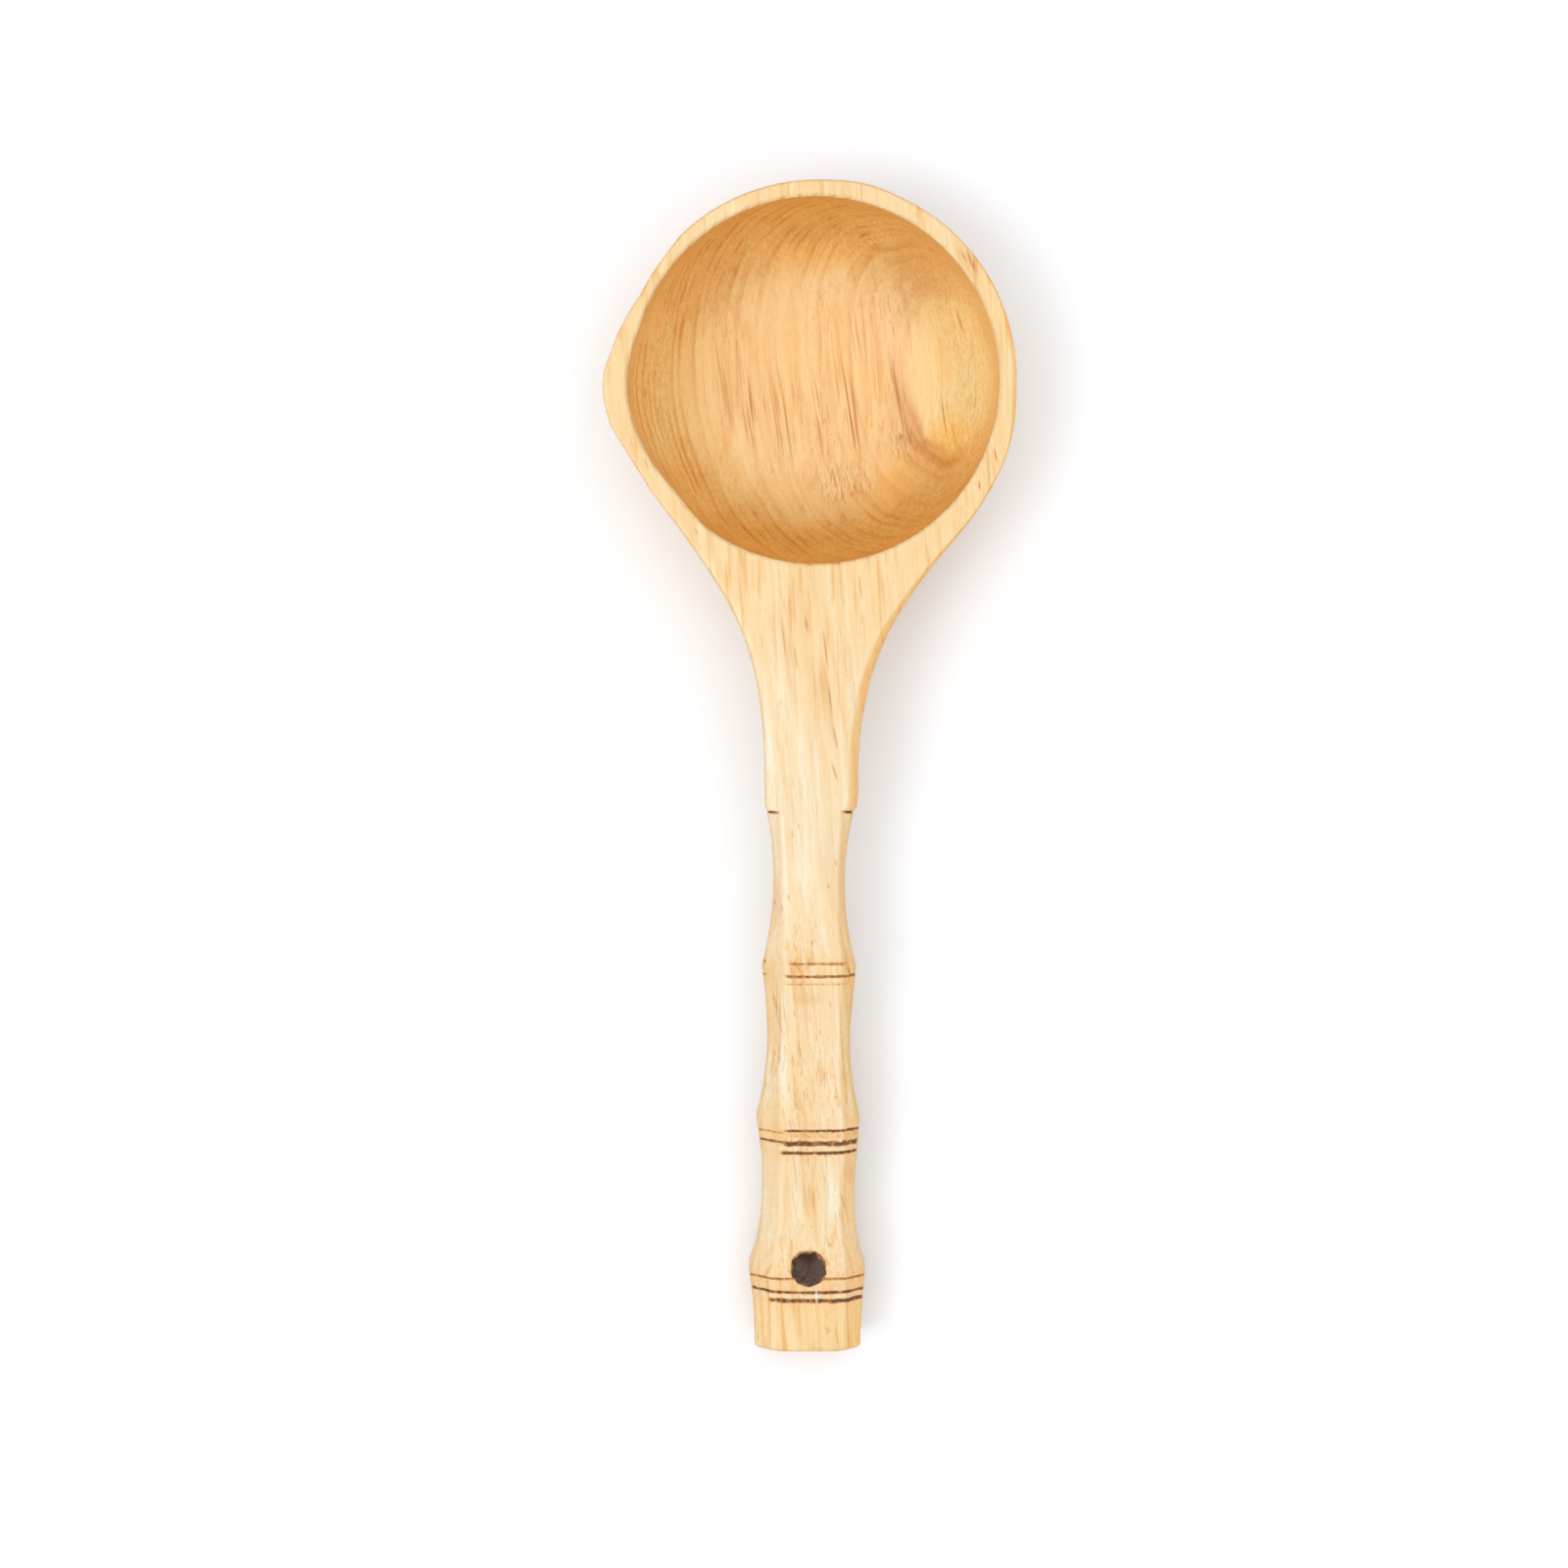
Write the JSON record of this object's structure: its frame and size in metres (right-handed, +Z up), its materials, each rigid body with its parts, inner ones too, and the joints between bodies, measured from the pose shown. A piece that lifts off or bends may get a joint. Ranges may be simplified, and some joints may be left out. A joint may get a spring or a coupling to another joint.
{
  "type": "water ladle",
  "caption": "Wooden water ladle: a round hollowed bowl with a small pouring lip, a flat flared neck, and a handle carved like a bamboo cane with a hanging hole.",
  "frame": {"origin": "centre of the flat foot under the bowl, on the surface that the ladle lies on", "axes": "+Z up, +Y along the ladle from the handle towards the front of the bowl, +X to the right, so the pouring lip points to -X"},
  "size_m": [0.1111, 0.3174, 0.042],
  "materials": {
    "bowl_wood": "pale golden hardwood, sanded smooth and lightly oiled, with fine dark pores along the grain",
    "handle_wood": "the same pale hardwood, knife-faceted, with scored and scorched node lines and a scorched hole",
    "peg_wood": "darker end grain of a hardwood peg, trimmed flush"
  },
  "bodies": {
    "root": {"bowl": "bowl_wood", "handle": "handle_wood", "tenon_peg": "peg_wood"}
  },
  "joints": []
}
